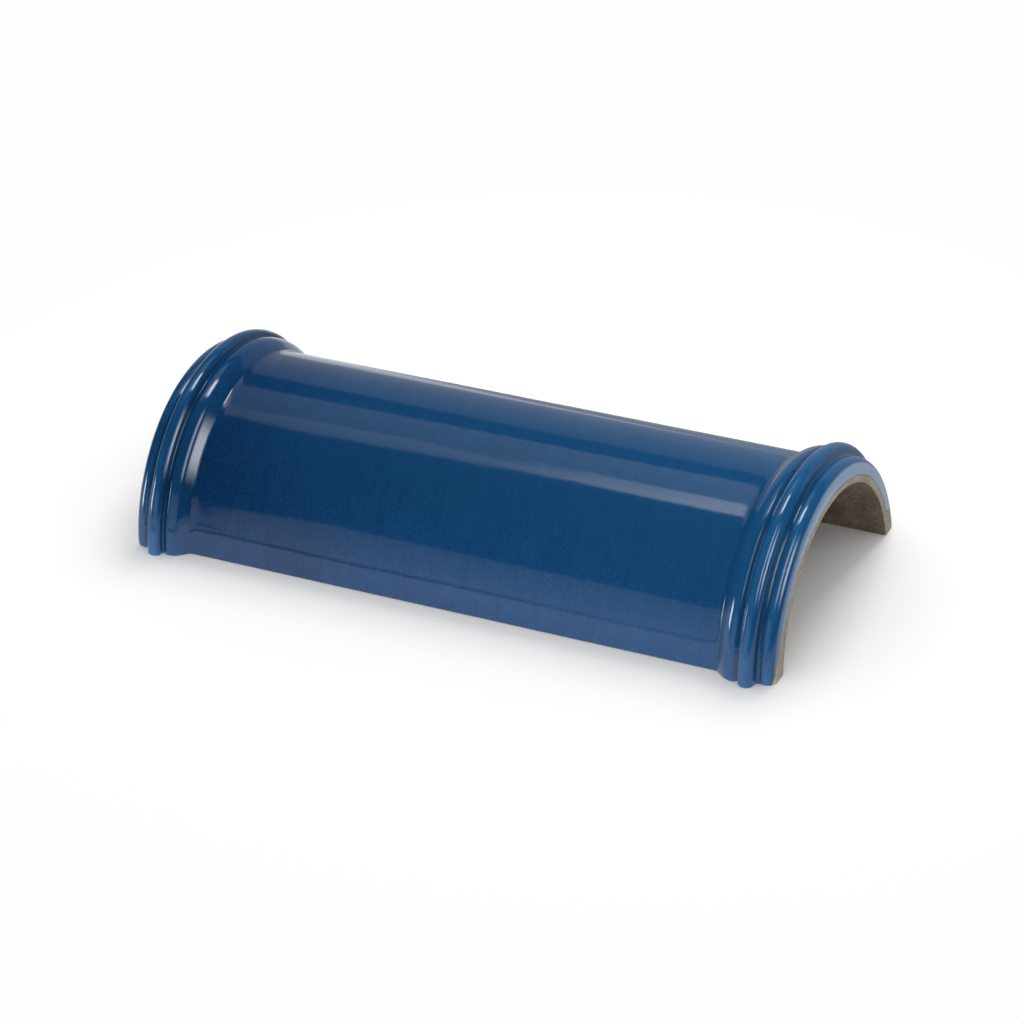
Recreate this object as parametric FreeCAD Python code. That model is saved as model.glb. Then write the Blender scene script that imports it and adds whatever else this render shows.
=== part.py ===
import FreeCAD, Part
import math
import os
from collections import namedtuple

# Half-round glazed ridge tile, fired in one piece, with a moulded collar at each end.
# Sizes are in millimetres. X runs along the ridge, Z is up, and the two feet stand on Z = 0.
# The barrel and the collars are turned about one axis, which lies a little below the feet.
LENGTH = 450.0
BARREL_RADIUS = 96.0
AXIS_DROP = 9.5
WALL = 11.5

# Each collar carries three rings, counted from the end face: an end roll, a crown and a neck bead.
# Heights are measured from the barrel to a ring's crest. The end roll runs smoothly into the end face.
END_ROLL_HEIGHT = 5.7
END_ROLL_RADIUS = 5.2
CROWN_HEIGHT = 10.8
CROWN_RADIUS = 8.0
NECK_HEIGHT = 6.3
NECK_RADIUS = 7.0

# A quirk is the narrow flat groove between two rings, and its depth is measured from the lower crest.
END_QUIRK_DEPTH = 0.6
END_QUIRK_WIDTH = 1.8
NECK_QUIRK_DEPTH = 1.2
NECK_QUIRK_WIDTH = 2.4

# The cove leads from the neck bead out onto the barrel.
NECK_COVE_RADIUS = 4.0

# Width of the arris taken off round the mouths of the underside.
MOUTH_ARRIS = 1.2

# A ring or cove of the section: its centre's place along the axis and distance from it, and its radius.
Round = namedtuple("Round", "x r radius")

AXIS_HEIGHT = -AXIS_DROP
UNDERSIDE_RADIUS = BARREL_RADIUS - WALL
END_X = -LENGTH / 2
END_QUIRK_FLOOR = BARREL_RADIUS + END_ROLL_HEIGHT - END_QUIRK_DEPTH
NECK_QUIRK_FLOOR = BARREL_RADIUS + NECK_HEIGHT - NECK_QUIRK_DEPTH


def point(x, r):
    """Places a point of the section in the plane where the turning starts."""
    return FreeCAD.Vector(x, r, AXIS_HEIGHT)


def line(start, end):
    """Makes a straight edge of the section."""
    return Part.LineSegment(start, end).toShape()


def reach(rounding, r):
    """Gives how far a round spreads to each side of its centre, at a distance from the axis."""
    return math.sqrt(rounding.radius ** 2 - (r - rounding.r) ** 2)


def ring_from(x, floor, height, radius):
    """Gives the ring that rises from a groove's floor at a place along the axis."""
    at_start = Round(x, BARREL_RADIUS + height - radius, radius)
    return at_start._replace(x=x + reach(at_start, floor))


def ring_arc(rounding, start, end):
    """Makes the part of a ring between two of its points, over its crest."""
    crest = point(rounding.x, rounding.r + rounding.radius)
    return Part.Arc(start, crest, end).toShape()


def barrel_cove(bead, radius):
    """Gives the cove that touches a bead and the straight barrel beside it."""
    r = BARREL_RADIUS + radius
    centres = bead._replace(radius=bead.radius + radius)
    return Round(bead.x + reach(centres, r), r, radius)


def cove_arc(cove, bead):
    """Makes the cove from the point where it touches its bead to the start of the barrel."""
    centre = point(cove.x, cove.r)
    to_bead = (point(bead.x, bead.r) - centre).normalize()
    to_barrel = FreeCAD.Vector(0, -1, 0)
    halfway = (to_bead + to_barrel).normalize()
    ends = [centre + way * cove.radius for way in (to_bead, halfway, to_barrel)]
    return Part.Arc(*ends).toShape(), ends[0], ends[2]


def collar_edges():
    """Draws one collar, from the underside at the end round to the start of the barrel."""
    end_roll_middle = BARREL_RADIUS + END_ROLL_HEIGHT - END_ROLL_RADIUS
    end_roll = Round(END_X + END_ROLL_RADIUS, end_roll_middle, END_ROLL_RADIUS)
    end_quirk_x = end_roll.x + reach(end_roll, END_QUIRK_FLOOR)
    crown = ring_from(end_quirk_x + END_QUIRK_WIDTH, END_QUIRK_FLOOR, CROWN_HEIGHT, CROWN_RADIUS)
    neck_quirk_x = crown.x + reach(crown, NECK_QUIRK_FLOOR)
    neck = ring_from(neck_quirk_x + NECK_QUIRK_WIDTH, NECK_QUIRK_FLOOR, NECK_HEIGHT, NECK_RADIUS)

    underside_start = point(END_X + MOUTH_ARRIS, UNDERSIDE_RADIUS)
    face_bottom = point(END_X, UNDERSIDE_RADIUS + MOUTH_ARRIS)
    face_top = point(END_X, end_roll.r)
    end_roll_stop = point(end_quirk_x, END_QUIRK_FLOOR)
    crown_start = point(end_quirk_x + END_QUIRK_WIDTH, END_QUIRK_FLOOR)
    crown_stop = point(neck_quirk_x, NECK_QUIRK_FLOOR)
    neck_start = point(neck_quirk_x + NECK_QUIRK_WIDTH, NECK_QUIRK_FLOOR)
    cove, neck_stop, barrel_start = cove_arc(barrel_cove(neck, NECK_COVE_RADIUS), neck)

    edges = [
        line(underside_start, face_bottom),
        line(face_bottom, face_top),
        ring_arc(end_roll, face_top, end_roll_stop),
        line(end_roll_stop, crown_start),
        ring_arc(crown, crown_start, crown_stop),
        line(crown_stop, neck_start),
        ring_arc(neck, neck_start, neck_stop),
        cove,
    ]
    return edges, underside_start, barrel_start


def mirrored(place):
    """Gives the like point at the other end of the tile."""
    return FreeCAD.Vector(-place.x, place.y, place.z)


def section():
    """Draws the whole section of the wall, with a collar at both ends."""
    collar, underside_start, barrel_start = collar_edges()
    middle = FreeCAD.Vector(0, 0, 0)
    along = FreeCAD.Vector(1, 0, 0)
    edges = collar + [edge.mirror(middle, along) for edge in collar]
    edges.append(line(barrel_start, mirrored(barrel_start)))
    edges.append(line(underside_start, mirrored(underside_start)))
    return Part.Face(Part.Wire(Part.__sortEdges__(edges)))


def turned_half():
    """Turns the section half way round the axis, over the top of the tile."""
    axis_point = FreeCAD.Vector(0, 0, AXIS_HEIGHT)
    return section().revolve(axis_point, FreeCAD.Vector(1, 0, 0), 180)


def cut_level(half):
    """Cuts the turned half level, to leave the two flat feet."""
    box = half.BoundBox
    room = Part.makeBox(2 * box.XLength, 2 * box.YLength, 2 * box.ZMax)
    room.translate(FreeCAD.Vector(-box.XLength, -box.YLength, 0))
    return half.common(room).Solids[0]


ridge_tile = cut_level(turned_half())
os.makedirs("parts", exist_ok=True)
ridge_tile.exportStep("parts/ridge_tile.step")
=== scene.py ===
import logging
import math
from dataclasses import dataclass
from enum import Enum
from itertools import pairwise
from typing import Callable

import bmesh
import bpy
from mathutils import Matrix, Vector


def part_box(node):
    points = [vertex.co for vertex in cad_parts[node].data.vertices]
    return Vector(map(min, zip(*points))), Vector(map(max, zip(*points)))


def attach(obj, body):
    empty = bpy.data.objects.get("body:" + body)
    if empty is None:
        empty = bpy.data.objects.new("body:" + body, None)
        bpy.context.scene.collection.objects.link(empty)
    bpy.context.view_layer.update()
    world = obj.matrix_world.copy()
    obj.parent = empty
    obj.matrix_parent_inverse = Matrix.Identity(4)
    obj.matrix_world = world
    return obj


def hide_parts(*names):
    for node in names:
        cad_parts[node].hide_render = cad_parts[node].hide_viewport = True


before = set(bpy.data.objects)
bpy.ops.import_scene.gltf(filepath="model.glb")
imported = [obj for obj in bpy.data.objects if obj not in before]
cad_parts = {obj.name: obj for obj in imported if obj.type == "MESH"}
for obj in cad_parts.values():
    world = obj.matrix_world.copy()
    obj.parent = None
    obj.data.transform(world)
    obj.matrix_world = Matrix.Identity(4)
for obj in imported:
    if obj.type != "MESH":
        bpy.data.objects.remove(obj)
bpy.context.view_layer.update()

LOG = logging.getLogger("ridge_tile")
MM = 0.001

# A value for a node's input: a number, a colour or vector, or another node's output.
NodeValue = float | tuple[float, ...] | bpy.types.NodeSocket


class Finish(Enum):
    """The tile's two finishes, in the order of its material slots."""

    GLAZE = 0
    CLAY = 1


class Lights(Enum):
    """What a studio card lights: what the glaze mirrors, or everything that isn't a mirror."""

    GLOSS = "gloss"
    BODY = "body"


class NodeSheet:
    """Draws shader nodes into one node tree."""

    NOISE_MIDDLE = 0.5
    # The Mix node has inputs of one name for every kind of data. These are the colours' numbers.
    FIRST_COLOUR = 6
    SECOND_COLOUR = 7
    MIXED_COLOUR = 2

    def __init__(self, tree: bpy.types.NodeTree) -> None:
        """Starts drawing on a tree."""
        self.tree = tree

    def put(self, socket: bpy.types.NodeSocket, value: NodeValue) -> None:
        """Fills an input with a value, or links an output to it.

        Args:
            socket: The input.
            value: The value or the output.
        """
        if isinstance(value, bpy.types.NodeSocket):
            self.tree.links.new(value, socket)
        else:
            socket.default_value = value

    def add(self, kind: str, inputs: dict | None = None, **settings: object) -> bpy.types.Node:
        """Adds one node.

        Args:
            kind: The node's type in Blender.
            inputs: Values for its inputs, by name or by number.
            settings: Values for the node's own properties.

        Returns:
            The new node.
        """
        node = self.tree.nodes.new(kind)
        for name, value in settings.items():
            setattr(node, name, value)
        for key, value in (inputs or {}).items():
            self.put(node.inputs[key], value)
        return node

    def math(self, operation: str, first: NodeValue, second: NodeValue = 0.0) -> bpy.types.NodeSocket:
        """Adds a sum of two values.

        Args:
            operation: The kind of sum, as Blender names it.
            first: The first value.
            second: The second value.

        Returns:
            The result.
        """
        return self.add("ShaderNodeMath", {0: first, 1: second}, operation=operation).outputs[0]

    def ramp(
        self,
        value: NodeValue,
        start: NodeValue,
        end: NodeValue,
        low: NodeValue = 0.0,
        high: NodeValue = 1.0,
        smooth: bool = True,
    ) -> bpy.types.NodeSocket:
        """Maps a value onto a range, and keeps it within that range.

        Args:
            value: The value to map.
            start: Where the range starts.
            end: Where the range ends.
            low: The result at the start.
            high: The result at the end.
            smooth: Whether the result eases in and out.

        Returns:
            The mapped value.
        """
        inputs = {"Value": value, "From Min": start, "From Max": end, "To Min": low, "To Max": high}
        kind = "SMOOTHSTEP" if smooth else "LINEAR"
        return self.add("ShaderNodeMapRange", inputs, interpolation_type=kind).outputs["Result"]

    def blend(self, share: NodeValue, first: NodeValue, second: NodeValue) -> bpy.types.NodeSocket:
        """Mixes two colours.

        Args:
            share: The second colour's share.
            first: The first colour.
            second: The second colour.

        Returns:
            The mixed colour.
        """
        node = self.add("ShaderNodeMix", {"Factor": share}, data_type="RGBA")
        self.put(node.inputs[self.FIRST_COLOUR], first)
        self.put(node.inputs[self.SECOND_COLOUR], second)
        return node.outputs[self.MIXED_COLOUR]

    def noise(self, place: NodeValue, grain: float, layers: float = 2.0) -> bpy.types.NodeSocket:
        """Adds a noise pattern.

        Args:
            place: The coordinates that it lies on.
            grain: The size of its grains.
            layers: How many finer layers it has.

        Returns:
            Its value, around zero.
        """
        inputs = {"Vector": place, "Scale": 1 / grain, "Detail": layers}
        pattern = self.add("ShaderNodeTexNoise", inputs).outputs["Fac"]
        return self.math("SUBTRACT", pattern, self.NOISE_MIDDLE)

    def place(self) -> bpy.types.NodeSocket:
        """Gives the piece's own coordinates, in metres."""
        return self.add("ShaderNodeTexCoord").outputs["Object"]

    def axes(self, place: NodeValue) -> bpy.types.NodeOutputs:
        """Splits coordinates into X, Y and Z."""
        return self.add("ShaderNodeSeparateXYZ", {0: place}).outputs


class ClayGrain:
    """The grain of the fired clay, as a node group that both finishes use."""

    GRAIN = 1.6 * MM
    PATCH = 14 * MM
    LAYERS = 3.0
    CONTRAST = 1.3
    SHADE_RANGE = 0.5
    # Specks lie in cells of one size, and only some groups of cells have theirs.
    SPECK_CELL = 3.0 * MM
    SPECK_SIZE = 0.28
    SPECK_CORE = 0.5 * SPECK_SIZE
    SPECK_GROUP = 2 * SPECK_CELL
    GROUP_EDGE = 0.06
    PIT = (0.018, 0.014, 0.01, 1.0)

    def __init__(self) -> None:
        """Builds the group once."""
        self.tree = bpy.data.node_groups.new("clay_grain", "ShaderNodeTree")
        self._sockets()
        self._draw()

    def _sockets(self) -> None:
        """Names the group's inputs and outputs."""
        face = self.tree.interface
        face.new_socket("Light Clay", in_out="INPUT", socket_type="NodeSocketColor")
        face.new_socket("Dark Clay", in_out="INPUT", socket_type="NodeSocketColor")
        face.new_socket("Specks", in_out="INPUT", socket_type="NodeSocketFloat")
        face.new_socket("Color", in_out="OUTPUT", socket_type="NodeSocketColor")
        face.new_socket("Height", in_out="OUTPUT", socket_type="NodeSocketFloat")

    def _draw(self) -> None:
        """Draws the grain, the larger patches and the dark specks."""
        sheet = NodeSheet(self.tree)
        given = sheet.add("NodeGroupInput").outputs
        place = sheet.place()
        grain = sheet.noise(place, self.GRAIN, self.LAYERS)
        patch = sheet.noise(place, self.PATCH, self.LAYERS)
        cells = sheet.add("ShaderNodeTexVoronoi", {"Vector": place, "Scale": 1 / self.SPECK_CELL})
        speck = sheet.ramp(cells.outputs["Distance"], self.SPECK_SIZE, self.SPECK_CORE)
        chosen = sheet.ramp(sheet.noise(place, self.SPECK_GROUP), 0.0, self.GROUP_EDGE)
        speck = sheet.math("MULTIPLY", sheet.math("MULTIPLY", speck, chosen), given["Specks"])
        fine = sheet.math("MULTIPLY", grain, self.CONTRAST)
        coarse = sheet.math("MULTIPLY", patch, self.CONTRAST)
        lightness = sheet.ramp(sheet.math("ADD", fine, coarse), -self.SHADE_RANGE, self.SHADE_RANGE)
        tone = sheet.blend(lightness, given["Dark Clay"], given["Light Clay"])
        tone = sheet.blend(speck, tone, self.PIT)
        out = sheet.add("NodeGroupOutput")
        sheet.put(out.inputs["Color"], tone)
        sheet.put(out.inputs["Height"], sheet.math("SUBTRACT", grain, speck))

    def use(
        self, sheet: NodeSheet, light: tuple[float, ...], dark: tuple[float, ...], specks: float
    ) -> bpy.types.NodeOutputs:
        """Puts the group into a material.

        Args:
            sheet: The material's nodes.
            light: The clay's light colour.
            dark: The clay's dark colour.
            specks: How strongly the specks show.

        Returns:
            The group's outputs.
        """
        clay = sheet.add("ShaderNodeGroup", node_tree=self.tree)
        sheet.put(clay.inputs["Light Clay"], light)
        sheet.put(clay.inputs["Dark Clay"], dark)
        sheet.put(clay.inputs["Specks"], specks)
        return clay.outputs


@dataclass(frozen=True)
class ShadedBareClay:
    """The bare fired clay of the underside and the feet, painted darker than the end rims' clay as
    shade under the arch.
    """

    # Painted shade: these tones are darker than the same clay on the end rims.
    light: tuple[float, ...] = (0.185, 0.148, 0.102, 1.0)
    dark: tuple[float, ...] = (0.070, 0.054, 0.036, 1.0)
    specks: float = 0.85
    roughness: float = 0.9
    bump_depth: float = 0.45 * MM

    def material(self, grain: ClayGrain) -> bpy.types.Material:
        """Makes the material.

        Args:
            grain: The clay's grain.

        Returns:
            The finished material.
        """
        material = bpy.data.materials.new("shaded_bare_clay")
        material.use_nodes = True
        sheet = NodeSheet(material.node_tree)
        shader = material.node_tree.nodes["Principled BSDF"]
        clay = grain.use(sheet, self.light, self.dark, self.specks)
        bump = sheet.add("ShaderNodeBump", {"Height": clay["Height"], "Distance": self.bump_depth})
        sheet.put(shader.inputs["Base Color"], clay["Color"])
        sheet.put(shader.inputs["Roughness"], self.roughness)
        sheet.put(shader.inputs["Normal"], bump.outputs["Normal"])
        return material


@dataclass(frozen=True)
class BlueGlaze:
    """The blue glaze, with bare clay showing where it stops short."""

    deep: tuple[float, ...] = (0.002, 0.020, 0.076, 1.0)
    thin: tuple[float, ...] = (0.016, 0.130, 0.315, 1.0)
    pooled: tuple[float, ...] = (0.002, 0.032, 0.075, 1.0)
    # Painted light: the end faces' glaze is painted paler, less so towards the front, for the light
    # that falls on them from the right.
    painted_end_light: tuple[float, ...] = (0.20, 0.29, 0.42, 1.0)
    edge: tuple[float, ...] = (0.11, 0.085, 0.06, 1.0)
    light_clay: tuple[float, ...] = (0.33, 0.285, 0.225, 1.0)
    dark_clay: tuple[float, ...] = (0.20, 0.168, 0.13, 1.0)
    specks: float = 0.4
    gloss: float = 0.085
    clay_roughness: float = 0.85
    # How the glaze lies along the tile, partly thinner and partly painted light from the right, up its
    # sides and on the crests, and how far it pools.
    # Painted light: the glaze's colour brightens towards the right end, partly for thinner glaze and
    # partly for light from the right.
    thin_glaze_and_light_left: float = 0.145
    thin_glaze_and_light_right: float = 0.325
    thin_foot: float = 0.68
    thin_ridge: float = 1.5
    foot_level: float = 15 * MM
    ridge_level: float = 85 * MM
    thin_crest: float = 0.22
    pooled_share: float = 0.3
    # Painted shade on the barrel beside the left neck, where the collar blocks the light.
    painted_neck_shade: float = 0.06
    neck_shade_start: float = 0.55
    neck_shade_end: float = 8 * MM
    # The glaze's edge on the end faces and along the feet.
    rim_width: float = 4.6 * MM
    rim_ragged: float = 2.4 * MM
    ragged_size: float = 8.0 * MM
    ragged_layers: float = 4.0
    front_soft: float = 1.0 * MM
    front_widen: float = 9.0 * MM
    front_rise: float = 40 * MM
    back_bare: float = 17 * MM
    foot_bare: float = -0.4 * MM
    edge_soft: float = 0.15 * MM
    line_width: float = 0.9 * MM
    line_core: float = 0.2 * MM
    # The painted light on the end faces' glaze, and their bare clay, by their depth from the end.
    painted_end_depth: float = 1.8 * MM
    painted_end_front: float = 0.4
    bare_depth: float = 6.0 * MM
    end_core: float = 0.25
    # The fine mottle, the streaks and the ripple.
    mottle: float = 1.3 * MM
    mottle_layers: float = 1.0
    mottle_share: float = 0.32
    streak: float = 30 * MM
    streak_layers: float = 3.0
    streak_share: float = 0.15
    crest_streak_share: float = 0.8
    streak_stretch: tuple[float, ...] = (4.0, 1.0, 1.0)
    peel: float = 9 * MM
    peel_layers: float = 1.0
    peel_depth: float = 0.035 * MM
    lip_depth: float = 0.4 * MM
    grain_share: float = 0.5

    def material(self, grain: ClayGrain, tile: "RidgeTile") -> bpy.types.Material:
        """Makes the material.

        Args:
            grain: The clay's grain.
            tile: The tile that it covers, for the places of its edges.

        Returns:
            The finished material.
        """
        material = bpy.data.materials.new("blue_glaze")
        material.use_nodes = True
        sheet = NodeSheet(material.node_tree)
        shader = material.node_tree.nodes["Principled BSDF"]
        place = sheet.place()
        bare, line = self._bare(sheet, place, tile)
        clay = grain.use(sheet, self.light_clay, self.dark_clay, self.specks)
        colour = sheet.blend(line, self._colour(sheet, place, tile), self.edge)
        colour = sheet.blend(bare, colour, clay["Color"])
        roughness = sheet.ramp(bare, 0.0, 1.0, self.gloss, self.clay_roughness)
        sheet.put(shader.inputs["Base Color"], colour)
        sheet.put(shader.inputs["Roughness"], roughness)
        sheet.put(shader.inputs["Normal"], self._relief(sheet, place, bare, clay["Height"]))
        return material

    def _end_face(
        self, sheet: NodeSheet, place: bpy.types.NodeSocket, tile: "RidgeTile", depth: float
    ) -> bpy.types.NodeSocket:
        """Finds the end faces.

        Args:
            sheet: The material's nodes.
            place: The piece's own coordinates.
            tile: The tile.
            depth: How far in from the end the mask fades out.

        Returns:
            A mask of the end faces.
        """
        away = sheet.math("ABSOLUTE", sheet.axes(place)["X"])
        return sheet.ramp(away, tile.half_length - depth, tile.half_length - self.end_core * depth)

    def _streaks(
        self, sheet: NodeSheet, place: bpy.types.NodeSocket, crest: bpy.types.NodeSocket
    ) -> bpy.types.NodeSocket:
        """Draws the glaze's streaks, which are strongest on the rings.

        Args:
            sheet: The material's nodes.
            place: The piece's own coordinates.
            crest: How far a place stands on a crest.

        Returns:
            How much thinner the glaze is there.
        """
        inputs = {0: place, 1: self.streak_stretch}
        drawn = sheet.add("ShaderNodeVectorMath", inputs, operation="MULTIPLY").outputs["Vector"]
        streak = sheet.noise(drawn, self.streak, self.streak_layers)
        strength = sheet.ramp(crest, 0.0, 1.0, self.streak_share, self.crest_streak_share)
        return sheet.math("MULTIPLY", streak, strength)

    def _thinness(
        self,
        sheet: NodeSheet,
        place: bpy.types.NodeSocket,
        tile: "RidgeTile",
        crest: bpy.types.NodeSocket,
    ) -> bpy.types.NodeSocket:
        """Finds how thin the glaze lies, with painted light towards the right end and painted shade
        beside the left neck.

        Args:
            sheet: The material's nodes.
            place: The piece's own coordinates.
            tile: The tile that it covers.
            crest: How far a place stands on a crest.

        Returns:
            The share of the thin glaze's colour.
        """
        axes = sheet.axes(place)
        along = axes["X"]
        half = tile.half_length
        neck = tile.collar_width - half
        # Painted light: lighter towards the right end, partly thinner glaze and partly light from the
        # right.
        thin = sheet.ramp(along, -half, half, self.thin_glaze_and_light_left, self.thin_glaze_and_light_right, smooth=False)
        # Painted shade on the barrel beside the left neck.
        shade_by_neck = sheet.ramp(along, self.neck_shade_start * neck, neck, 0.0, self.painted_neck_shade)
        shade_by_neck = sheet.math("MULTIPLY", shade_by_neck, sheet.ramp(along, neck - self.neck_shade_end, neck))
        height = sheet.ramp(
            axes["Z"], self.foot_level, self.ridge_level, self.thin_foot, self.thin_ridge, smooth=False
        )
        thin = sheet.math("MULTIPLY", sheet.math("SUBTRACT", thin, shade_by_neck), height)
        on_top = sheet.ramp(crest, 0.0, 1.0, 0.0, self.thin_crest, smooth=False)
        streak = self._streaks(sheet, place, crest)
        mottle = sheet.noise(place, self.mottle, self.mottle_layers)
        mottle = sheet.math("MULTIPLY", mottle, self.mottle_share)
        for change in (on_top, streak, mottle):
            thin = sheet.math("ADD", thin, change)
        return thin

    def _colour(
        self, sheet: NodeSheet, place: bpy.types.NodeSocket, tile: "RidgeTile"
    ) -> bpy.types.NodeSocket:
        """Paints the glaze from deep to thin, pooled in the grooves, with painted light on the end
        faces.

        Args:
            sheet: The material's nodes.
            place: The piece's own coordinates.
            tile: The tile that it covers.

        Returns:
            The glaze's colour.
        """
        crest = sheet.add("ShaderNodeAttribute", attribute_name=tile.CREST).outputs["Fac"]
        colour = sheet.blend(self._thinness(sheet, place, tile, crest), self.deep, self.thin)
        in_groove = sheet.ramp(crest, 0.0, -1.0, 0.0, self.pooled_share, smooth=False)
        colour = sheet.blend(in_groove, colour, self.pooled)
        # Painted light on the end faces, weaker towards the front.
        on_end = self._end_face(sheet, place, tile, self.painted_end_depth)
        painted_end_light = sheet.ramp(sheet.axes(place)["Y"], -tile.barrel_radius, 0.0, self.painted_end_front, 1.0)
        return sheet.blend(sheet.math("MULTIPLY", on_end, painted_end_light), colour, self.painted_end_light)

    def _bare(
        self, sheet: NodeSheet, place: bpy.types.NodeSocket, tile: "RidgeTile"
    ) -> tuple[bpy.types.NodeSocket, bpy.types.NodeSocket]:
        """Finds where the glaze stops: on the end faces' inner rim and along the feet.

        Args:
            sheet: The material's nodes.
            place: The piece's own coordinates.
            tile: The tile that it covers.

        Returns:
            A mask of the bare clay, and a mask of the dark line along the glaze's edge.
        """
        axes = sheet.axes(place)
        up = sheet.math("ADD", axes["Z"], tile.axis_drop)
        squares = sheet.math("ADD", sheet.math("POWER", axes["Y"], 2.0), sheet.math("POWER", up, 2.0))
        ragged = sheet.noise(place, self.ragged_size, self.ragged_layers)
        ragged = sheet.math("MULTIPLY", ragged, self.rim_ragged)
        in_front = sheet.ramp(axes["Y"], self.front_soft, -self.front_soft)
        widen = sheet.ramp(axes["Z"], self.front_rise, 0.0, 0.0, self.front_widen, smooth=False)
        widen = sheet.math("MULTIPLY", widen, in_front)
        rim = tile.underside_radius + self.rim_width
        rim = sheet.math("ADD", sheet.math("ADD", ragged, widen), rim)
        past_rim = sheet.math("SUBTRACT", sheet.math("SQRT", squares), rim)
        back_edge = sheet.ramp(in_front, 0.0, 1.0, self.back_bare, -self.back_bare, smooth=False)
        past_back = sheet.math("SUBTRACT", axes["Z"], sheet.math("ADD", back_edge, ragged))
        on_end = sheet.math("MINIMUM", past_rim, past_back)
        end_face = self._end_face(sheet, place, tile, self.bare_depth)
        off_end = sheet.ramp(end_face, 1.0, 0.0, 0.0, tile.half_length)
        past_foot = sheet.math("SUBTRACT", axes["Z"], sheet.math("ADD", ragged, self.foot_bare))
        past = sheet.math("MINIMUM", sheet.math("ADD", on_end, off_end), past_foot)
        bare = sheet.ramp(past, self.edge_soft, -self.edge_soft)
        line = sheet.ramp(past, self.line_width, self.line_core)
        return bare, line

    def _relief(
        self,
        sheet: NodeSheet,
        place: bpy.types.NodeSocket,
        bare: bpy.types.NodeSocket,
        grain: bpy.types.NodeSocket,
    ) -> bpy.types.NodeSocket:
        """Adds the glaze's soft ripple, its lip and the clay's grain.

        Args:
            sheet: The material's nodes.
            place: The piece's own coordinates.
            bare: The mask of the bare clay.
            grain: The clay's grain as a height.

        Returns:
            The normal.
        """
        peel = sheet.noise(place, self.peel, self.peel_layers)
        peel = sheet.add("ShaderNodeBump", {"Height": peel, "Distance": self.peel_depth})
        rough = sheet.math("MULTIPLY", sheet.math("MULTIPLY", grain, bare), self.grain_share)
        lip = sheet.math("SUBTRACT", rough, bare)
        inputs = {"Height": lip, "Distance": self.lip_depth, "Normal": peel.outputs["Normal"]}
        return sheet.add("ShaderNodeBump", inputs).outputs["Normal"]


class Modeller:
    """Steps of modelling by hand, which the tile's class puts together."""

    @staticmethod
    def start_at(name: str, place: Vector) -> bpy.types.Object:
        """Starts a mesh as one point, from a small plane merged at its middle.

        Args:
            name: The new object's name.
            place: Where the point lies.

        Returns:
            The object, in edit mode, with its point selected.
        """
        bpy.ops.object.select_all(action="DESELECT")
        bpy.ops.mesh.primitive_plane_add(size=MM, location=place)
        piece = bpy.context.object
        piece.name = name
        piece.data.name = name
        bpy.ops.object.transform_apply(location=True, rotation=True, scale=True)
        bpy.ops.object.mode_set(mode="EDIT")
        bpy.ops.mesh.select_mode(type="VERT")
        bpy.ops.mesh.select_all(action="SELECT")
        bpy.ops.mesh.merge(type="CENTER")
        return piece

    @staticmethod
    def select_edges(piece: bpy.types.Object, wanted: Callable[[bmesh.types.BMEdge], bool]) -> None:
        """Selects edges by their place, and nothing else.

        Args:
            piece: The object, in edit mode.
            wanted: Tells whether an edge is to be selected.
        """
        bpy.ops.mesh.select_all(action="DESELECT")
        bpy.ops.mesh.select_mode(type="EDGE")
        shape = bmesh.from_edit_mesh(piece.data)
        for edge in shape.edges:
            edge.select_set(wanted(edge))
        bmesh.update_edit_mesh(piece.data)

    @staticmethod
    def finish_with(piece: bpy.types.Object, kind: str, name: str, **settings: object) -> None:
        """Adds a modifier and applies it.

        Args:
            piece: The object, in object mode.
            kind: The modifier's type in Blender.
            name: The modifier's name.
            settings: Values for the modifier's properties.
        """
        modifier = piece.modifiers.new(name, kind)
        for key, value in settings.items():
            setattr(modifier, key, value)
        bpy.ops.object.modifier_apply(modifier=name)


@dataclass(frozen=True)
class Station:
    """A place on the collar's section, where one arc ends and the next one starts.

    Args:
        inset_mm: Its distance from the end face, in millimetres.
        lean_degrees: How far the surface there leans towards the end face.
    """

    inset_mm: float
    lean_degrees: float

    @property
    def inset(self) -> float:
        """Its distance from the end face."""
        return self.inset_mm * MM

    @property
    def lean(self) -> float:
        """Its lean as an angle in radians."""
        return math.radians(self.lean_degrees)

    def radius_to(self, other: "Station") -> float:
        """Gives the radius of the arc to the next station.

        Args:
            other: The next station.

        Returns:
            The radius, which is negative in a cove and infinite on a straight run.
        """
        turn = math.sin(self.lean) - math.sin(other.lean)
        return (other.inset - self.inset) / turn if turn else math.inf

    def rise_to(self, other: "Station") -> float:
        """Gives how much higher the next station lies.

        Args:
            other: The next station.

        Returns:
            The rise, away from the tile's axis.
        """
        radius = self.radius_to(other)
        if math.isinf(radius):
            return (other.inset - self.inset) * math.tan(self.lean)
        return radius * (math.cos(other.lean) - math.cos(self.lean))


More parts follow.
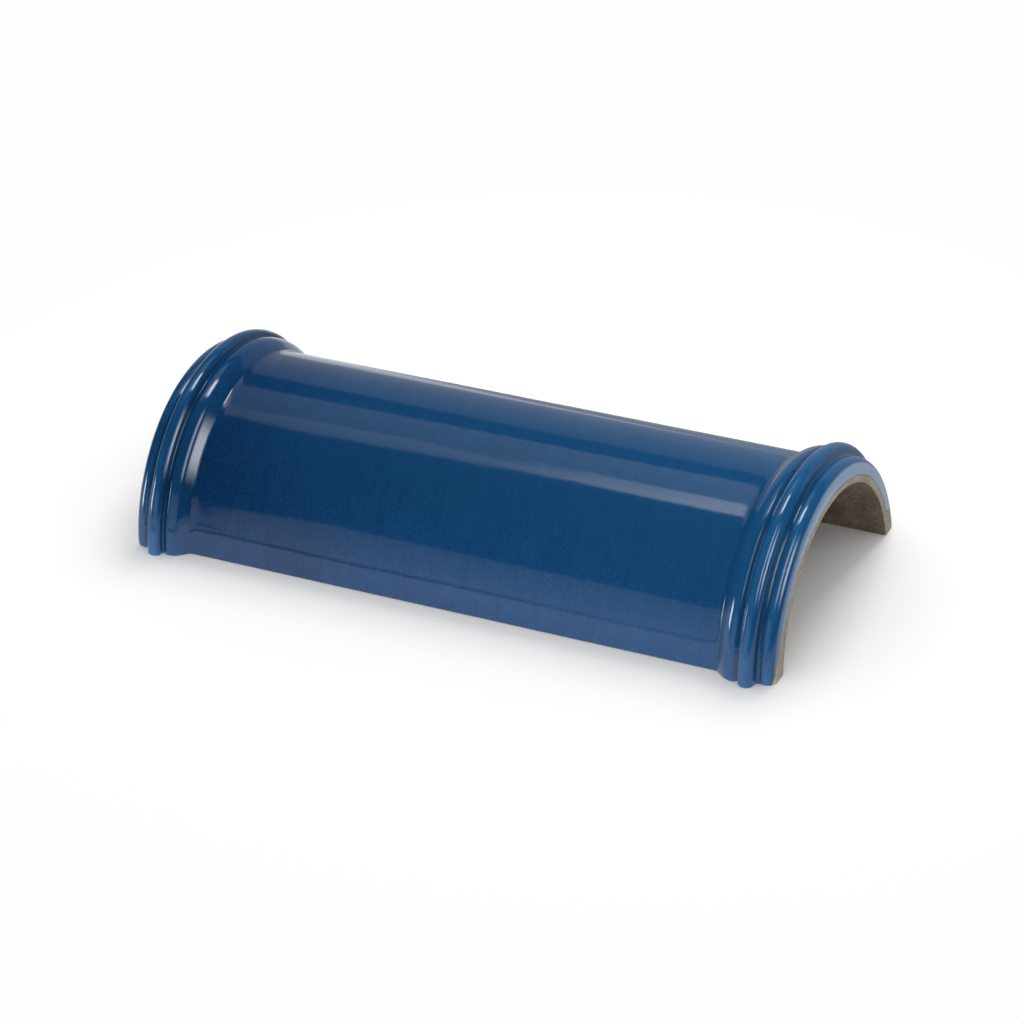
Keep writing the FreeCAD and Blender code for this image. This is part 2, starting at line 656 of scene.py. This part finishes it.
@dataclass
class RidgeTile:
    """The half-round ridge tile, with a moulded collar at each end.

    Each collar has three rings, counted from the end face: an end roll, a crown and a neck.
    """

    barrel_radius: float = 96.5 * MM
    axis_drop: float = 9.5 * MM
    wall: float = 11.5 * MM
    mouth_arris: float = 1.0 * MM
    foot_arris: float = 0.9 * MM
    ripple: float = 0.12 * MM
    ripple_size: float = 45 * MM
    ripple_layers: int = 1
    # The shares of the two arrises that are left bare.
    mouth_bare: float = 0.3
    foot_bare: float = 0.2
    # How finely the mesh is divided.
    arc_step: float = math.radians(9)
    arc_run: float = 1.2 * MM
    barrel_step: float = 3.0 * MM
    underside_step: float = 12.0 * MM
    turn_step: float = math.radians(1)
    foot_turn: float = math.radians(8.2)
    foot_steps: int = 2
    arris_steps: int = 3
    weld: float = 0.01 * MM
    smooth_angle: float = math.radians(35)

    # The collar's section, from the end face to the barrel.
    END_ROLL = (Station(0.0, 90.0), Station(2.4, 37.0), Station(7.0, 0.0), Station(9.1, -18.0))
    FLANK = (Station(11.54, 76.0), Station(12.2, 76.0), Station(13.9, 32.0))
    CROWN = (Station(17.2, 0.0), Station(20.0, -20.0), Station(20.6, -39.5), Station(21.5, -39.5))
    DROP = (Station(21.8, -75.0), Station(22.4, -75.0))
    NECK = (Station(23.4, 22.0), Station(25.6, 22.0), Station(26.4, 0.0), Station(34.2, -39.5))
    COVE = (Station(37.6, -39.5), Station(38.2, -46.0), Station(39.0, -22.0))
    FLARE = (Station(39.8, -9.0), Station(44.0, 0.0))
    COLLAR = END_ROLL + FLANK + CROWN + DROP + NECK + COVE + FLARE
    # Each crest's inset with its strength, and each groove's inset, for the glaze's depth.
    CRESTS = ((7.0 * MM, 1.0), (17.2 * MM, 1.0), (28.0 * MM, 0.25))
    GROOVES = (10.3 * MM, 22.9 * MM, 38.8 * MM)
    CREST_WIDTH = 4.0 * MM
    GROOVE_WIDTH = 1.6 * MM
    GROOVE_STRENGTH = 2.0
    OUTSIDE_MARGIN = 1.0 * MM
    CREST = "crest"

    def __post_init__(self) -> None:
        """Takes the length from the CAD model, and works out what follows from the sizes."""
        self.half_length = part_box("ridge_tile")[1].x
        self.underside_radius = self.barrel_radius - self.wall
        self.collar_width = self.COLLAR[-1].inset
        self.pen = Vector((0.0, self.underside_radius))

    def build(self) -> bpy.types.Object:
        """Models the tile.

        Returns:
            The finished mesh object.
        """
        start = Vector((0.0, self.underside_radius, -self.axis_drop))
        tile = Modeller.start_at("glazed_ridge_tile", start)
        self._draw_section()
        self._turn_section()
        self._cut_level()
        self._join_halves(tile)
        self._close_feet(tile)
        self._ripple(tile)
        self._mark_crests(tile)
        return tile

    def _run_to(self, x: float, r: float, longest: float) -> None:
        """Extrudes the section straight on to a point.

        Args:
            x: The point's place along the tile.
            r: The point's distance from the axis.
            longest: The longest edge that the run may have.
        """
        way = Vector((x, r)) - self.pen
        steps = math.ceil(way.length / longest)
        way /= steps
        for _ in range(steps):
            bpy.ops.mesh.extrude_vertices_move(TRANSFORM_OT_translate={"value": (way.x, way.y, 0.0)})
        self.pen = Vector((x, r))

    def _arc_round(self, centre: Vector, turn: float) -> None:
        """Spins the section's last point round a centre.

        Args:
            centre: The arc's centre.
            turn: How far the arc turns, positive where it bends over to the underside.
        """
        arm = self.pen - centre
        steps = math.ceil(max(abs(turn) / self.arc_step, abs(turn) * arm.length / self.arc_run))
        middle = (centre.x, centre.y, -self.axis_drop)
        bpy.ops.mesh.spin(steps=steps, angle=turn, center=middle, axis=(0.0, 0.0, 1.0))
        self.pen = centre + Matrix.Rotation(-turn, 2) @ arm

    def _follow(self, start: Station, end: Station) -> None:
        """Draws the collar's section from one station to the next.

        Args:
            start: The station where the section's last point lies.
            end: The next station.
        """
        radius = start.radius_to(end)
        if math.isinf(radius):
            self._run_to(end.inset - self.half_length, self.pen.y + start.rise_to(end), self.arc_run)
        else:
            inwards = Vector((math.sin(start.lean), -math.cos(start.lean)))
            self._arc_round(self.pen + inwards * radius, start.lean - end.lean)

    def _draw_section(self) -> None:
        """Draws the left half of the wall's section, from the underside round to the barrel."""
        end_x = -self.half_length
        steps = list(pairwise(self.COLLAR))
        face_top = self.barrel_radius - sum(start.rise_to(end) for start, end in steps)
        arris = Vector((end_x + self.mouth_arris, self.underside_radius + self.mouth_arris))
        self._run_to(arris.x, self.underside_radius, self.underside_step)
        self._arc_round(arris, math.pi / 2)
        self._run_to(end_x, face_top, self.barrel_step)
        for start, end in steps:
            self._follow(start, end)
        self._run_to(0.0, self.barrel_radius, self.barrel_step)

    def _turn_section(self) -> None:
        """Spins the section half way round the tile's axis, over the top."""
        bpy.ops.mesh.select_all(action="SELECT")
        over = math.pi - 2 * self.foot_turn
        foot_run = (self.foot_turn, self.foot_steps)
        over_run = (over, round(over / self.turn_step))
        middle = (0.0, 0.0, -self.axis_drop)
        for angle, steps in (foot_run, over_run, foot_run):
            bpy.ops.mesh.spin(steps=steps, angle=-angle, center=middle, axis=(1.0, 0.0, 0.0))

    def _cut_level(self) -> None:
        """Cuts the turned half level, where the feet stand."""
        bpy.ops.mesh.select_all(action="SELECT")
        bpy.ops.mesh.bisect(plane_co=(0, 0, 0), plane_no=(0, 0, 1), clear_inner=True)
        bpy.ops.object.mode_set(mode="OBJECT")

    def _join_halves(self, tile: bpy.types.Object) -> None:
        """Mirrors the half to make the whole tile.

        Args:
            tile: The tile's object, in object mode.
        """
        Modeller.finish_with(tile, "MIRROR", "other_half", merge_threshold=self.weld)

    def _close_feet(self, tile: bpy.types.Object) -> None:
        """Closes the two feet, takes off their sharp edges and turns the faces outwards.

        Args:
            tile: The tile's object, in object mode.
        """
        bpy.ops.object.mode_set(mode="EDIT")
        bpy.ops.mesh.select_all(action="SELECT")
        bpy.ops.mesh.remove_doubles(threshold=self.weld)
        bpy.ops.mesh.select_all(action="SELECT")
        bpy.ops.mesh.fill_holes(sides=0)
        bpy.ops.mesh.select_all(action="SELECT")
        bpy.ops.mesh.normals_make_consistent(inside=False)
        Modeller.select_edges(tile, lambda edge: all(abs(end.co.z) < self.weld for end in edge.verts))
        bpy.ops.mesh.bevel(
            offset=self.foot_arris, segments=self.arris_steps, affect="EDGES", clamp_overlap=False
        )
        bpy.ops.object.mode_set(mode="OBJECT")
        bpy.ops.object.shade_smooth_by_angle(angle=self.smooth_angle)

    def _ripple(self, tile: bpy.types.Object) -> None:
        """Gives the surface the slight waviness of hand-finished clay.

        Args:
            tile: The tile's object.
        """
        waves = bpy.data.textures.new("clay_waves", "CLOUDS")
        waves.noise_scale = self.ripple_size
        waves.noise_depth = self.ripple_layers
        Modeller.finish_with(tile, "DISPLACE", "ripple", texture=waves, strength=self.ripple)

    def _from_axis(self, point: Vector) -> float:
        """Gives a point's distance from the tile's axis."""
        return math.hypot(point.y, point.z + self.axis_drop)

    @staticmethod
    def _bell(inset: float, centre: float, width: float) -> float:
        """Gives a soft bump that is 1 at its centre and fades out on both sides.

        Args:
            inset: The place, by its distance from the end face.
            centre: The bump's centre.
            width: How far from its centre the bump falls to about a third.

        Returns:
            The bump's height at that place.
        """
        return math.exp(-(((inset - centre) / width) ** 2))

    def _crest(self, point: Vector) -> float:
        """Tells how far a point of the outside stands on a crest: 1 on top, below 0 in a groove.

        Args:
            point: The point.

        Returns:
            The crest value, which is 0 on the barrel and the underside.
        """
        if self._from_axis(point) < self.barrel_radius - self.OUTSIDE_MARGIN:
            return 0.0
        inset = self.half_length - abs(point.x)
        tops = sum(share * self._bell(inset, top, self.CREST_WIDTH) for top, share in self.CRESTS)
        dips = sum(self._bell(inset, groove, self.GROOVE_WIDTH) for groove in self.GROOVES)
        return tops - self.GROOVE_STRENGTH * dips

    def _mark_crests(self, tile: bpy.types.Object) -> None:
        """Marks how far each point stands on a crest, for the glaze's depth of colour.

        Args:
            tile: The tile's object.
        """
        mark = tile.data.attributes.new(self.CREST, "FLOAT", "POINT")
        mark.data.foreach_set("value", [self._crest(point.co) for point in tile.data.vertices])

    def _finish_at(self, face: bpy.types.MeshPolygon) -> Finish:
        """Tells which finish a face has.

        Args:
            face: The face.

        Returns:
            Bare clay on the underside and under the feet, and glaze elsewhere.
        """
        clay_radius = self.underside_radius + self.mouth_bare * self.mouth_arris
        underside = self._from_axis(face.center) < clay_radius
        foot = face.center.z < self.foot_bare * self.foot_arris
        return Finish.CLAY if underside or foot else Finish.GLAZE

    def dress(self, tile: bpy.types.Object) -> None:
        """Gives the tile its glaze and its bare clay.

        Args:
            tile: The tile's object.
        """
        grain = ClayGrain()
        tile.data.materials.clear()
        tile.data.materials.append(BlueGlaze().material(grain, self))
        tile.data.materials.append(ShadedBareClay().material(grain))
        for face in tile.data.polygons:
            face.material_index = self._finish_at(face).value
        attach(tile, "root")
        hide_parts("ridge_tile")


@dataclass(frozen=True)
class GlowCard:
    """A softbox or white card of the studio, which the camera itself doesn't see.

    Args:
        name: The card's name.
        centre: Its middle.
        along: The direction of its width.
        faces: The direction that it faces.
        size: Its width and height.
        glow: Its brightness at the start and at the end of its width.
        corner: The rounding of its corners.
        soft: The shares of its half width and half height over which its edges fade out.
        lights: What it lights.
        corner_steps: How many edges round off a corner.
    """

    name: str
    centre: tuple[float, float, float]
    along: tuple[float, float, float]
    faces: tuple[float, float, float]
    size: tuple[float, float]
    glow: tuple[float, float]
    corner: float = 0.02
    soft: tuple[float, float] = (0.05, 0.05)
    lights: Lights = Lights.GLOSS
    corner_steps: int = 6

    def build(self) -> bpy.types.Object:
        """Makes the card as a thin sheet with rounded corners.

        Returns:
            The card.
        """
        bpy.ops.object.select_all(action="DESELECT")
        bpy.ops.mesh.primitive_plane_add(size=1.0)
        card = bpy.context.object
        card.name = self.name
        bpy.ops.object.mode_set(mode="EDIT")
        bpy.ops.mesh.select_all(action="SELECT")
        bpy.ops.transform.resize(value=(*self.size, 1.0))
        bpy.ops.mesh.bevel(offset=self.corner, segments=self.corner_steps, affect="VERTICES")
        bpy.ops.object.mode_set(mode="OBJECT")
        ahead = Vector(self.faces).normalized()
        side = Vector(self.along)
        side = (side - ahead * side.dot(ahead)).normalized()
        turned = Matrix((side, ahead.cross(side), ahead)).transposed()
        card.matrix_world = Matrix.Translation(self.centre) @ turned.to_4x4()
        card.data.materials.append(self._material())
        card.visible_camera = False
        card.visible_shadow = False
        card.visible_glossy = self.lights is Lights.GLOSS
        card.visible_diffuse = self.lights is Lights.BODY
        return card

    def _material(self) -> bpy.types.Material:
        """Makes the card glow, more at one end than at the other.

        Returns:
            The finished material.
        """
        material = bpy.data.materials.new(self.name)
        material.use_nodes = True
        material.node_tree.nodes.clear()
        sheet = NodeSheet(material.node_tree)
        axes = sheet.axes(sheet.place())
        half = self.size[0] / 2
        glow = sheet.ramp(axes["X"], -half, half, *self.glow, smooth=False)
        for axis, size, soft in zip("XY", self.size, self.soft):
            away = sheet.math("ABSOLUTE", axes[axis])
            glow = sheet.math("MULTIPLY", glow, sheet.ramp(away, size / 2, size / 2 * (1 - soft)))
        light = sheet.add("ShaderNodeEmission", {"Strength": glow})
        sheet.add("ShaderNodeOutputMaterial", {"Surface": light.outputs[0]})
        return material


@dataclass(frozen=True)
class Floor:
    """The plain white floor.

    The camera sees its shadows near the tile, and plain white further off.
    What the glaze mirrors of it, and what it throws back onto the tile's front, are set apart.
    """

    size: float = 9.0
    below_feet: float = 0.05 * MM
    paper: float = 1.0
    white: float = 0.99
    shadow_end: float = 0.3
    white_start: float = 0.5
    # The light thrown back onto the tile's front, and where that part of the floor ends.
    bounce: float = 3.6
    bounce_start: float = -0.09
    bounce_end: float = -0.105
    bounce_left: float = 0.2
    bounce_right: float = 0.28
    # The brightness that the glaze mirrors in front, behind, on the left and far off, with a painted
    # shadow near the tile's foot.
    front: float = 0.98
    far_front: float = 0.75
    mirrored_foot_shadow: float = 0.8
    foot_start: float = -0.16
    foot_end: float = -0.1
    near_behind: float = 0.34
    far_behind: float = 0.36
    behind_start: float = 0.06
    behind_end: float = 0.18
    behind_far: float = 0.6
    left: float = 0.95
    left_start: float = -0.15
    left_end: float = -0.28
    far_start: float = 1.3
    far_end: float = 2.2
    # The dark gap in front, which the glaze mirrors as a line low on the barrel.
    gap: float = 0.04
    gap_least: float = 0.6
    gap_soft: float = 0.03
    gap_front: float = -0.5
    gap_back: float = -0.29
    gap_left: float = -0.42
    gap_fade: float = -0.17
    gap_right: float = -0.02

    def build(self) -> bpy.types.Object:
        """Lays the floor.

        Returns:
            The floor.
        """
        bpy.ops.object.select_all(action="DESELECT")
        bpy.ops.mesh.primitive_plane_add(size=self.size, location=(0.0, 0.0, -self.below_feet))
        floor = bpy.context.object
        floor.name = "floor"
        floor.data.materials.append(self._material())
        return floor

    def _mirrored(self, sheet: NodeSheet, place: bpy.types.NodeSocket) -> bpy.types.NodeSocket:
        """Gives the floor's brightness as the glaze mirrors it.

        Args:
            sheet: The material's nodes.
            place: The floor's own coordinates.

        Returns:
            The brightness.
        """
        axes = sheet.axes(place)
        along = axes["X"]
        across = axes["Y"]
        glow = sheet.ramp(across, self.behind_end, self.behind_far, self.near_behind, self.far_behind)
        glow = sheet.ramp(along, self.left_start, self.left_end, glow, self.left)
        away = sheet.add("ShaderNodeVectorMath", {0: place}, operation="LENGTH").outputs["Value"]
        glow = sheet.ramp(away, self.far_start, self.far_end, glow, self.front)
        front = sheet.ramp(across, self.gap_front, self.gap_back, self.far_front, self.front)
        # Painted shadow: the mirrored floor darkens near the tile's foot.
        front = sheet.ramp(across, self.foot_start, self.foot_end, front, self.mirrored_foot_shadow)
        glow = sheet.ramp(across, self.behind_start, self.behind_end, front, glow)
        gap = sheet.ramp(across, self.gap_front, self.gap_front + self.gap_soft)
        for side in (
            sheet.ramp(across, self.gap_back, self.gap_back - self.gap_soft),
            sheet.ramp(along, self.gap_left, self.gap_left + self.gap_soft),
            sheet.ramp(along, self.gap_right, self.gap_fade, self.gap_least),
        ):
            gap = sheet.math("MULTIPLY", gap, side)
        return sheet.ramp(gap, 0.0, 1.0, glow, self.gap)

    def _material(self) -> bpy.types.Material:
        """Makes the floor's white paper.

        Returns:
            The finished material.
        """
        material = bpy.data.materials.new("white_floor")
        material.use_nodes = True
        material.node_tree.nodes.clear()
        sheet = NodeSheet(material.node_tree)
        place = sheet.place()
        rays = sheet.add("ShaderNodeLightPath").outputs
        away = sheet.add("ShaderNodeVectorMath", {0: place}, operation="LENGTH").outputs["Value"]
        far_off = sheet.ramp(away, self.shadow_end, self.white_start)
        plain = sheet.math("MULTIPLY", rays["Is Camera Ray"], far_off)
        axes = sheet.axes(place)
        in_front = sheet.ramp(axes["Y"], self.bounce_start, self.bounce_end)
        beside = sheet.ramp(axes["X"], self.bounce_right, self.bounce_left)
        lit = sheet.math("MULTIPLY", rays["Is Diffuse Ray"], sheet.math("MULTIPLY", in_front, beside))
        look = sheet.add("ShaderNodeBsdfDiffuse", {"Color": (self.paper, self.paper, self.paper, 1.0)})
        layers = (
            (plain, self.white),
            (lit, self.bounce),
            (rays["Is Glossy Ray"], self._mirrored(sheet, place)),
        )
        for share, strength in layers:
            glow = sheet.add("ShaderNodeEmission", {"Strength": strength})
            look = sheet.add("ShaderNodeMixShader", {0: share, 1: look.outputs[0], 2: glow.outputs[0]})
        sheet.add("ShaderNodeOutputMaterial", {"Surface": look.outputs[0]})
        return material


@dataclass(frozen=True)
class PhotoCamera:
    """The camera, at the photograph's viewing angle."""

    azimuth: float = math.radians(28.10)
    elevation: float = math.radians(31.81)
    roll: float = math.radians(-3.84)
    distance: float = 2.549
    target: tuple[float, float, float] = (0.0006, 0.0, 0.0174)
    lens: float = 139.08
    sensor: float = 36.0

    def build(self) -> bpy.types.Object:
        """Sets the camera up.

        Returns:
            The camera.
        """
        data = bpy.data.cameras.new("photo_camera")
        data.lens = self.lens
        data.sensor_width = self.sensor
        camera = bpy.data.objects.new("photo_camera", data)
        bpy.context.scene.collection.objects.link(camera)
        flat = math.cos(self.elevation)
        back = Vector(
            (math.sin(self.azimuth) * flat, -math.cos(self.azimuth) * flat, math.sin(self.elevation))
        )
        right = Vector((math.cos(self.azimuth), math.sin(self.azimuth), 0.0))
        level = Matrix((right, back.cross(right), back)).transposed()
        turned = level @ Matrix.Rotation(self.roll, 3, "Z")
        stand = Matrix.Translation(Vector(self.target) + back * self.distance)
        camera.matrix_world = stand @ turned.to_4x4()
        bpy.context.scene.camera = camera
        return camera


class Studio:
    """The plain white studio that the tile stands in."""

    DOWN = (0, 0, -1)
    UP = (0, 0, 1)
    RIGHT = (1, 0, 0)
    TO_FRONT = (0, -1, 0)
    TO_BACK = (0, 1, 0)
    CARDS = (
        GlowCard(
            name="top_softbox",
            centre=(-1.672, 1.755, 3.8),
            along=(0.945, 0.327, 0),
            faces=DOWN,
            size=(2.4, 2.0),
            glow=(0.25, 0.88),
        ),
        GlowCard(
            name="top_strip",
            centre=(-1.925, 0.443, 3.78),
            along=(0.82, 0.57, 0),
            faces=DOWN,
            size=(0.75, 0.7),
            glow=(0.5, 1.0),
            soft=(0.02, 0.12),
        ),
        GlowCard(
            name="strip_end",
            centre=(-1.285, 0.7, 3.78),
            along=(0.99, -0.13, 0),
            faces=DOWN,
            size=(0.68, 0.85),
            glow=(1.0, 4.5),
            soft=(0.02, 0.2),
        ),
        GlowCard(
            name="top_lamp",
            centre=(-0.35, 0.85, 3.76),
            along=RIGHT,
            faces=DOWN,
            size=(1.3, 1.2),
            glow=(12, 12),
            soft=(0.5, 0.35),
        ),
        GlowCard(
            name="key_strip",
            centre=(0.4, -0.72, 1.19),
            along=(0.08, -1.18, -0.62),
            faces=(-0.4, 0.72, -1.14),
            size=(1.6, 0.55),
            glow=(6, 6),
            soft=(0.45, 0.95),
        ),
        GlowCard(
            name="side_strip",
            centre=(1.13, -0.51, 0.99),
            along=(0.14, -1.02, -0.62),
            faces=(-1.13, 0.51, -0.94),
            size=(1.5, 0.75),
            glow=(9, 9),
            soft=(0.85, 0.8),
        ),
        GlowCard(
            name="front_card",
            centre=(-0.2, -1, 0.2),
            along=UP,
            faces=TO_BACK,
            size=(0.44, 0.96),
            glow=(0.8, 0.42),
            corner=0.16,
        ),
        GlowCard(
            name="low_card",
            centre=(-1.3, -0.78, 0.2),
            along=(0.5, -0.86, 0),
            faces=(0.86, 0.5, 0),
            size=(0.4, 0.45),
            glow=(12, 12),
            soft=(0.4, 0.3),
        ),
        GlowCard(
            name="back_wall",
            centre=(-0.2, 1.3, 0.5),
            along=UP,
            faces=TO_FRONT,
            size=(1.4, 4.0),
            glow=(0.44, 0.26),
        ),
        GlowCard(
            name="top_fill",
            centre=(0.1, 1.15, 1.5),
            along=RIGHT,
            faces=(-0.1, -1.15, -1.5),
            size=(0.9, 0.9),
            glow=(6.5, 6.5),
            lights=Lights.BODY,
        ),
    )
    BACKGROUND = 0.99
    SKY = 0.8

    def build(self) -> None:
        """Sets up the floor, the lights, the background and the camera."""
        Floor().build()
        for card in self.CARDS:
            card.build()
            LOG.info("card %s", card.name)
        self._background()
        PhotoCamera().build()
        bpy.context.scene.view_settings.view_transform = "Standard"

    def _background(self) -> None:
        """Makes the surroundings white to look at, a soft light to the body and dark to the glaze."""
        world = bpy.data.worlds.new("white_studio")
        bpy.context.scene.world = world
        world.use_nodes = True
        world.cycles_visibility.glossy = False
        sheet = NodeSheet(world.node_tree)
        direct = sheet.add("ShaderNodeLightPath").outputs["Is Camera Ray"]
        strength = sheet.ramp(direct, 0.0, 1.0, self.SKY, self.BACKGROUND, smooth=False)
        background = world.node_tree.nodes["Background"]
        sheet.put(background.inputs["Color"], (1.0, 1.0, 1.0, 1.0))
        sheet.put(background.inputs["Strength"], strength)


def main() -> None:
    """Builds and dresses the tile, then stages it."""
    model = RidgeTile()
    tile = model.build()
    model.dress(tile)
    LOG.info("%s: %d faces", tile.name, len(tile.data.polygons))
    Studio().build()


if __name__ == "__main__":
    logging.basicConfig(level=logging.INFO)
    main()
